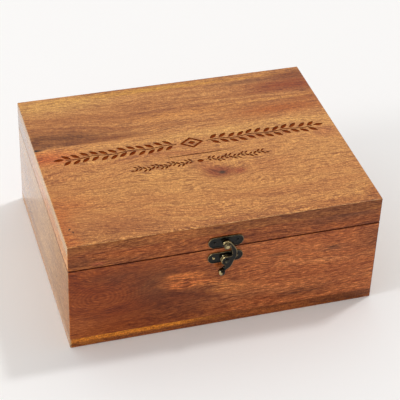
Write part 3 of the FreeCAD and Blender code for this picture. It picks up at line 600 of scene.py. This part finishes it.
def leaf(shape, at, size, turn):
    made = bmesh.ops.create_circle(shape, cap_ends=True, segments=16, radius=1.0)["verts"]
    for point in made:
        point.co.y *= abs(point.co.y)  # a round becomes a pointed oval
    bmesh.ops.transform(shape, verts=made, matrix=(
        Matrix.Translation((*at, 0.0)) @ Matrix.Rotation(math.radians(turn), 4, "Z")
        @ Matrix.Diagonal((size[0] / 2, size[1] / 2, 1.0, 1.0))))


def strip(shape, start, end, line, bend, steps=48):
    # a narrow strip between two places along the lid; bend gives its middle line and share of width
    made = bmesh.ops.create_grid(shape, x_segments=steps, y_segments=1, size=0.5)["verts"]
    for point in made:
        along = start + (point.co.x + 0.5) * (end - start)
        middle, share = bend(along)
        point.co = Vector((along, middle + point.co.y * line * share, 0.0))


def branch(shape, sprig, side):
    # a swaying stem with a pair of leaves at each step, outwards from the middle of the lid
    middle = ornament["centre"]

    def bend(along):
        outward = (along - middle) * side - sprig["start"]
        sway = sprig["sway"] * math.sin(2 * math.pi * outward / sprig["wave"])
        return sprig["at"] + sway, 1.0

    strip(shape, middle + side * sprig["start"], middle + side * sprig["end"], sprig["stem"], bend)
    pairs = int((sprig["end"] - sprig["start"]) / sprig["step"])
    for number in range(pairs):
        along = middle + side * (sprig["start"] + (number + ornament["firstLeaf"]) * sprig["step"])
        for up in (1, -1):
            place = (along + side * ornament["leafSet"] * sprig["leaf"][0],
                     bend(along)[0] + up * sprig["offset"])
            leaf(shape, place, sprig["leaf"], up * side * sprig["lean"])
    tip = middle + side * (sprig["end"] + ornament["tipSet"] * sprig["leaf"][0])
    leaf(shape, (tip, bend(tip)[0]), sprig["leaf"], 0.0)


def ornamentCutter(top):
    shape = bmesh.new()
    middle, lozenge, rule = ornament["centre"], ornament["lozenge"], ornament["rule"]
    for sprig in ("laurel", "vine"):
        for side in (1, -1):
            branch(shape, ornament[sprig], side)
    for size in (lozenge["half"], lozenge["heart"]):
        made = bmesh.ops.create_circle(shape, cap_ends=True, segments=4, radius=1.0)["verts"]
        bmesh.ops.transform(shape, verts=made, matrix=(
            Matrix.Translation((middle, lozenge["at"], 0.0))
            @ Matrix.Diagonal((size[0], size[1], 1.0, 1.0))))
        if size == lozenge["half"]:
            shape.normal_update()
            plate = made[0].link_faces[0]
            bmesh.ops.inset_region(shape, faces=[plate], thickness=lozenge["line"],
                                   use_boundary=True, use_even_offset=True)
            bmesh.ops.delete(shape, geom=[plate], context="FACES")
    leaf(shape, (middle, ornament["vine"]["at"]), ornament["vine"]["bud"], 0.0)
    strip(shape, middle - rule["reach"], middle + rule["reach"], rule["line"],
          lambda along: (rule["at"], max(rule["tip"], 1 - ((along - middle) / rule["reach"]) ** 4)))
    bmesh.ops.transform(shape, verts=shape.verts, matrix=Matrix.Translation(
        (0.0, 0.0, top / mm - ornament["depth"])))
    floorFaces = list(shape.faces)
    raised = bmesh.ops.extrude_face_region(shape, geom=floorFaces, use_keep_orig=True)["geom"]
    bmesh.ops.translate(shape, vec=(0.0, 0.0, ornament["depth"] + ornament["clear"]),
                        verts=[item for item in raised if isinstance(item, bmesh.types.BMVert)])
    bmesh.ops.recalc_face_normals(shape, faces=shape.faces)
    for face in shape.faces:  # floors, then walls
        face.material_index = 0 if abs(face.normal.z) > 0.5 else 1
    bmesh.ops.scale(shape, vec=(mm, mm, mm), verts=shape.verts)
    return shape


def carved(blank, cutter, blankMaterials, cutterMaterials):
    # what is left of the blank once the cutter is taken out of it, and its materials
    pieces = []
    for shape, materials in ((blank, blankMaterials), (cutter, cutterMaterials)):
        piece = bpy.data.objects.new("on_the_bench", bpy.data.meshes.new("on_the_bench"))
        shape.to_mesh(piece.data)
        shape.free()
        for material in materials:
            piece.data.materials.append(material)
        bpy.context.scene.collection.objects.link(piece)
        pieces.append(piece)
    cut = pieces[0].modifiers.new("cut", "BOOLEAN")
    cut.object = pieces[1]
    cut.operation = "DIFFERENCE"
    cut.solver = "EXACT"
    cut.use_self = True
    cut.material_mode = "TRANSFER"
    mesh = bpy.data.meshes.new_from_object(
        pieces[0].evaluated_get(bpy.context.evaluated_depsgraph_get()))
    for piece in pieces:
        bpy.data.objects.remove(piece)
    shape, materials = bmesh.new(), list(mesh.materials)
    shape.from_mesh(mesh)
    bpy.data.meshes.remove(mesh)
    return shape, materials


burntGrain = {"fibre": (9.0, 0.7), "seed": 3.1, "depth": (0.85, 1.35)}


def burnt(name, hexColour):
    # Acacia scorched by a laser: brown and matt, with the fibres still there as fine streaks.
    material, tree, shader = newMaterial(name, {"Roughness": 0.75, "Specular IOR Level": 0.03})
    add = functools.partial(addNode, tree)
    place = add("ShaderNodeTexCoord").outputs["Object"]
    board = add("ShaderNodeVectorMath", {"operation": "SCALE", "Scale": 1 / mm}, {0: place})
    fibre = streaks(add, board.outputs[0], *burntGrain["fibre"], burntGrain["seed"])
    light, dark = burntGrain["depth"]
    depth = add("ShaderNodeMapRange", {"To Min": dark, "To Max": light}, {"Value": fibre})
    stained = add("ShaderNodeGamma", {"Color": linear(hexColour)}, {"Gamma": depth.outputs[0]})
    tree.links.new(stained.outputs[0], shader.inputs["Base Color"])
    return material


def engravedBoard():
    blank = mergedCopy("lid_board_front")
    for face in blank.faces:  # the front edge has a look of its own
        face.material_index = 1 if face.normal.y < -0.7 else 0
    shape, materials = carved(
        blank, ornamentCutter(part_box("lid_board_front")[1][2]),
        [acacia("oiled acacia, front lid board", **lidFrontLook),
         acacia("oiled acacia, front edge of the lid", **lidEdgeLook)],
        [burnt("burnt acacia, floor of the engraving", ornament["floorColour"]),
         burnt("burnt acacia, walls of the engraving", ornament["wallColour"])])
    for face in shape.faces:  # the flats stay flat, the rounds of the edges are smooth
        face.smooth = max(abs(share) for share in face.normal) < 0.9995
    newPiece("engraved_lid_board", shape, "lid", ["lid_board_front"],
             materials)


engravedBoard()
print("lid engraved")


castBronze = {  # sizes in millimetres
    "patina": "#0b0b09", "film": "#1c1a14", "brass": "#b7a474", "roughness": (0.22, 0.36),
    "blotch": 3.0, "pitting": 0.35, "relief": 0.02, "reliefStrength": 0.7,
    "wearStart": 0.30, "wearFull": 0.75, "wearBlotch": 0.5,
    "lacquer": 0.4, "lacquerRoughness": 0.12,
}


def bronze(name, wears):
    # Antique bronze plating on a zinc casting: near black in the hollows, rubbed back to dull brass on
    # the arrises and wherever fingers touch it; where that brass sits on the lit side of the tail ball
    # it is partly a painted highlight.
    look = castBronze
    material, tree, shader = newMaterial(name, {
        "Metallic": 1.0, "Coat Weight": look["lacquer"],
        "Coat Roughness": look["lacquerRoughness"]})
    add = functools.partial(addNode, tree)
    place = add("ShaderNodeTexCoord").outputs["Object"]
    blotch = add("ShaderNodeTexNoise", {"Scale": 1 / (look["blotch"] * mm), "Detail": 3.0},
                 {"Vector": place})
    pits = add("ShaderNodeTexNoise", {"Scale": 1 / (look["pitting"] * mm), "Detail": 1.0},
               {"Vector": place})
    patina = add("ShaderNodeMixRGB", {"Color1": linear(look["patina"]), "Color2": linear(look["film"])},
                 {"Fac": blotch.outputs[0]})
    colour, rubbed = patina.outputs[0], blotch.outputs[0]
    if wears:
        wear = add("ShaderNodeAttribute", {"attribute_name": "wear"}).outputs["Fac"]
        uneven = add("ShaderNodeMath", {"operation": "MULTIPLY_ADD", 1: look["wearBlotch"],
                                        2: -look["wearBlotch"] / 2}, {0: blotch.outputs[0]})
        summed = add("ShaderNodeMath", {"operation": "ADD"}, {0: wear, 1: uneven.outputs[0]})
        rubbed = add("ShaderNodeMapRange", {"interpolation_type": "SMOOTHSTEP",
                                            "From Min": look["wearStart"],
                                            "From Max": look["wearFull"]},
                     {"Value": summed.outputs[0]}).outputs[0]
        mixed = add("ShaderNodeMixRGB", {"Color2": linear(look["brass"])},
                    {"Fac": rubbed, "Color1": colour})
        colour = mixed.outputs[0]
    tree.links.new(colour, shader.inputs["Base Color"])
    smooth, dull = look["roughness"]
    rough = add("ShaderNodeMapRange", {"To Min": dull, "To Max": smooth}, {"Value": rubbed})
    tree.links.new(rough.outputs[0], shader.inputs["Roughness"])
    bump = add("ShaderNodeBump", {"Distance": look["relief"] * mm,
                                  "Strength": look["reliefStrength"]}, {"Height": pits.outputs[0]})
    tree.links.new(bump.outputs[0], shader.inputs["Normal"])
    return material


plainBronze = bronze("antique bronze plating", wears=False)
wornBronze = bronze("antique bronze plating, rubbed bright", wears=True)
for name in nodes:
    if "hinge" in name or "latch" in name or "catch" in name:
        dress(name, plainBronze)


casting = {"voxel": 0.15, "wearRings": 3, "smoothShare": 0.5}  # millimetres, rounds, share
tailBallRubAndHighlight = {"at": (-9.0, -109.0, 58.2), "reach": 3.2, "rub": 0.65}  # where fingers push the hook; the spot sits on the lit left side of the ball, so its brass is partly a painted highlight


def castPiece(name, node, body, smoothing, wearReach, rubAndHighlightSpot=None):
    # a copy of a sharp piece with the soft arrises of a tumbled casting; the smaller wearReach is, the
    # further the wear spreads from the arrises; rubAndHighlightSpot is a place that fingers rub, set
    # where the lamp's highlight falls, so its brass is partly a painted highlight
    shape = mergedCopy(node)
    rough = bpy.data.objects.new(name + "_rough", bpy.data.meshes.new(name + "_rough"))
    shape.to_mesh(rough.data)
    shape.clear()
    bpy.context.scene.collection.objects.link(rough)
    remesh = rough.modifiers.new("even mesh", "REMESH")
    remesh.mode = "VOXEL"
    remesh.voxel_size = casting["voxel"] * mm
    even = bpy.data.meshes.new_from_object(rough.evaluated_get(bpy.context.evaluated_depsgraph_get()))
    bpy.data.objects.remove(rough)
    shape.from_mesh(even)
    bpy.data.meshes.remove(even)
    for step in range(smoothing):
        bmesh.ops.smooth_vert(shape, verts=shape.verts, factor=casting["smoothShare"],
                              use_axis_x=True, use_axis_y=True, use_axis_z=True)
    # wear: how far a point stands out from its neighbours, evened over a few rings of them
    shape.normal_update()
    near = [[edge.other_vert(point) for edge in point.link_edges] for point in shape.verts]
    shape.verts.index_update()
    proud = []
    for point, others in zip(shape.verts, near):
        middle = sum((other.co for other in others), Vector()) / len(others)
        proud.append((point.co - middle).dot(point.normal) / (casting["voxel"] * mm))
    for step in range(casting["wearRings"]):
        proud = [(2 * own + sum(proud[other.index] for other in others)) / (2 + len(others))
                 for own, others in zip(proud, near)]
    wear = shape.verts.layers.float.new("wear")
    for point, own in zip(shape.verts, proud):
        rub = own / wearReach
        # brass on a rubbed spot on the lit side: partly wear, partly painted highlight
        if rubAndHighlightSpot:
            far = (point.co / mm - Vector(rubAndHighlightSpot["at"])).length / rubAndHighlightSpot["reach"]
            rub += rubAndHighlightSpot["rub"] * max(0.0, 1.0 - far)
        point[wear] = min(1.0, max(0.0, rub))
    for face in shape.faces:
        face.smooth = True
    newPiece(name, shape, body, [node], [wornBronze])


castPiece("cast_hook", "latch_hook", "hook", smoothing=24, wearReach=0.049, rubAndHighlightSpot=tailBallRubAndHighlight)
castPiece("cast_latch_plate", "latch_plate", "box", smoothing=14, wearReach=0.085)
castPiece("cast_catch_plate", "catch_plate", "lid", smoothing=14, wearReach=0.085)
for hand in ("left", "right"):
    for body in ("box", "lid"):
        leafNode = "%s_hinge_%s_leaf" % (hand, body)
        castPiece("plated_" + leafNode, leafNode, body, smoothing=3, wearReach=0.05)
print("hook, plates and hinge leaves cast")


def spun(shape, points, foot, axis, steps):
    # a profile turned on the lathe into a closed shape
    edges = [shape.edges.new(pair) for pair in zip(points, points[1:])]
    bmesh.ops.spin(shape, geom=points + edges, cent=foot, axis=axis, angle=2 * math.pi,
                   steps=steps, use_merge=True)
    bmesh.ops.remove_doubles(shape, verts=shape.verts, dist=weldGap)
    bmesh.ops.recalc_face_normals(shape, faces=shape.faces)


def shadeSmooth(shape):  # rounds are smooth, and their corners stay sharp
    for face in shape.faces:
        face.smooth = True
    for edge in shape.edges:
        edge.smooth = edge.calc_face_angle(0.0) < creaseAngle


def dome(radius, base, height, steps=8):  # points of a domed head from its rim to its crown
    turns = [math.pi / 2 * step / steps for step in range(steps + 1)]
    return [(radius * math.cos(turn), base + height * math.sin(turn)) for turn in turns[:-1]] + [
        (0.0, base + height)]


# radii and heights in millimetres; rub is how bright fingers keep the head, from 0 to 1
nailShape = {"shank": 0.6, "point": 1.6, "head": 1.3, "dome": 0.8}
nailRub = {"latch_nail_left": 1.0, "catch_nail_left": 0.35,
           "latch_nail_right": 0.4, "catch_nail_right": 0.2}
rivetShape = {"shank": 1.3, "head": 2.3, "dome": 0.9, "rub": 0.35}
pegShape = {"stem": 0.8, "collar": 2.4, "neck": 1.2, "seat": 1.2, "collarRise": 0.7, "head": 2.9,
            "lip": 0.4, "dome": 1.2, "rub": 0.75}
turning = {"steps": 40, "crown": 0.97, "belowCrown": 0.6}  # below the crown a head is rubbed less


def rise(node):  # how far a piece reaches out from the wood, in millimetres
    low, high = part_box(node)
    return (high[1] - low[1]) / mm


def turnedPiece(name, node, body, profile, rub):
    # a profile of radius and rise from the wood, spun round the middle of the piece it replaces
    low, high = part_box(node)
    foot = Vector(((low.x + high.x) / 2, high.y, (low.z + high.z) / 2))
    shape = bmesh.new()
    wear = shape.verts.layers.float.new("wear")
    points = []
    for radius, height in profile:
        point = shape.verts.new(foot + Vector((radius, -height, 0.0)) * mm)
        onCrown = height > rise(node) * turning["crown"]
        point[wear] = rub * (1.0 if onCrown else turning["belowCrown"])
        points.append(point)
    spun(shape, points, foot, (0.0, 1.0, 0.0), turning["steps"])
    shadeSmooth(shape)
    newPiece(name, shape, body, [node], [wornBronze])


def nailProfile(node):
    seat = rise(node) - nailShape["dome"]
    return [(0.0, 0.0), (nailShape["shank"], nailShape["point"]), (nailShape["shank"], seat),
            *dome(nailShape["head"], seat, nailShape["dome"])]


def rivetProfile():
    seat = rise("latch_rivet") - rivetShape["dome"]
    return [(0.0, 0.0), (rivetShape["shank"], 0.0), (rivetShape["shank"], seat),
            *dome(rivetShape["head"], seat, rivetShape["dome"])]


def pegProfile():
    seat, neckFoot = pegShape["seat"], pegShape["seat"] + pegShape["collarRise"]
    headFoot = rise("catch_peg") - pegShape["lip"] - pegShape["dome"]
    return [(0.0, 0.0), (pegShape["stem"], 0.0), (pegShape["stem"], seat),
            (pegShape["collar"], seat), (pegShape["collar"], (seat + neckFoot) / 2),
            (pegShape["neck"], neckFoot), (pegShape["neck"], headFoot), (pegShape["head"], headFoot),
            *dome(pegShape["head"], headFoot + pegShape["lip"], pegShape["dome"])]


for node, rub in nailRub.items():
    body = "box" if node.startswith("latch") else "lid"
    turnedPiece("domed_" + node, node, body, nailProfile(node), rub)
turnedPiece("domed_rivet", "latch_rivet", "box", rivetProfile(), rivetShape["rub"])
turnedPiece("domed_peg", "catch_peg", "lid", pegProfile(), pegShape["rub"])
print("peg, rivet and nails turned")


# the two countersunk screws of a hinge leaf, in millimetres; the turn of each slot is in degrees
screwShape = {"head": 1.8, "shank": 0.72, "plain": 0.6, "crest": 1.0, "runOut": 0.9, "pitch": 0.8,
              "length": 8.0, "point": 1.6, "slot": (0.7, 0.55), "steps": 32}
screwRub = {"face": 0.55, "sunk": 0.15}
slotTurns = {"left_hinge_box": (24, 101), "left_hinge_lid": (-38, 62),
             "right_hinge_box": (78, 8), "right_hinge_lid": (135, -15)}


def screwProfile():
    # radius and depth below the face of the head, from the face to the point
    shank, crest, pitch = screwShape["shank"], screwShape["crest"], screwShape["pitch"]
    profile = [(0.0, 0.0), (screwShape["head"], 0.0), (shank, screwShape["head"] - shank)]
    depth = screwShape["head"] - shank + screwShape["plain"]
    while depth < screwShape["length"] - screwShape["point"]:  # the thread, as rings
        profile += [(shank, depth), (crest, depth + pitch / 2),
                    (shank, depth + screwShape["runOut"] * pitch)]
        depth += pitch
    return profile + [(0.0, screwShape["length"])]


def slottedScrews(node, body, turns):
    low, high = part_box(node)
    up = 1.0 if body == "box" else -1.0  # the heads face up in the box and down in the lid
    face = high.z if up > 0 else low.z
    reach = screwShape["head"] * mm
    screws = bmesh.new()
    for along, turn in zip((low.x + reach, high.x - reach), turns):
        foot = Vector((along, (low.y + high.y) / 2, face))
        blank = bmesh.new()
        points = [blank.verts.new(foot + Vector((radius, 0.0, -up * depth)) * mm)
                  for radius, depth in screwProfile()]
        spun(blank, points, foot, (0.0, 0.0, 1.0), screwShape["steps"])
        cutter = bmesh.new()
        width, depth = screwShape["slot"]
        bmesh.ops.create_cube(cutter, size=1.0, matrix=(
            Matrix.Translation(foot) @ Matrix.Rotation(math.radians(turn), 4, "Z")
            @ Matrix.Diagonal((4 * reach, width * mm, 2 * depth * mm, 1.0))))  # right across
        slotted = carved(blank, cutter, [wornBronze], [wornBronze])[0]
        spare = bpy.data.meshes.new("screw")
        slotted.to_mesh(spare)
        slotted.free()
        screws.from_mesh(spare)
        bpy.data.meshes.remove(spare)
    wear = screws.verts.layers.float.new("wear")
    for point in screws.verts:
        onFace = abs(point.co.z - face) < 0.01 * mm
        point[wear] = screwRub["face" if onFace else "sunk"]
    shadeSmooth(screws)
    for side in screws.faces:
        side.material_index = 0
    newPiece("slotted_" + node, screws, body, [node], [wornBronze])


for hinge, turns in slotTurns.items():
    slottedScrews(hinge + "_screws", hinge[-3:], turns)
print("hinge screws slotted")
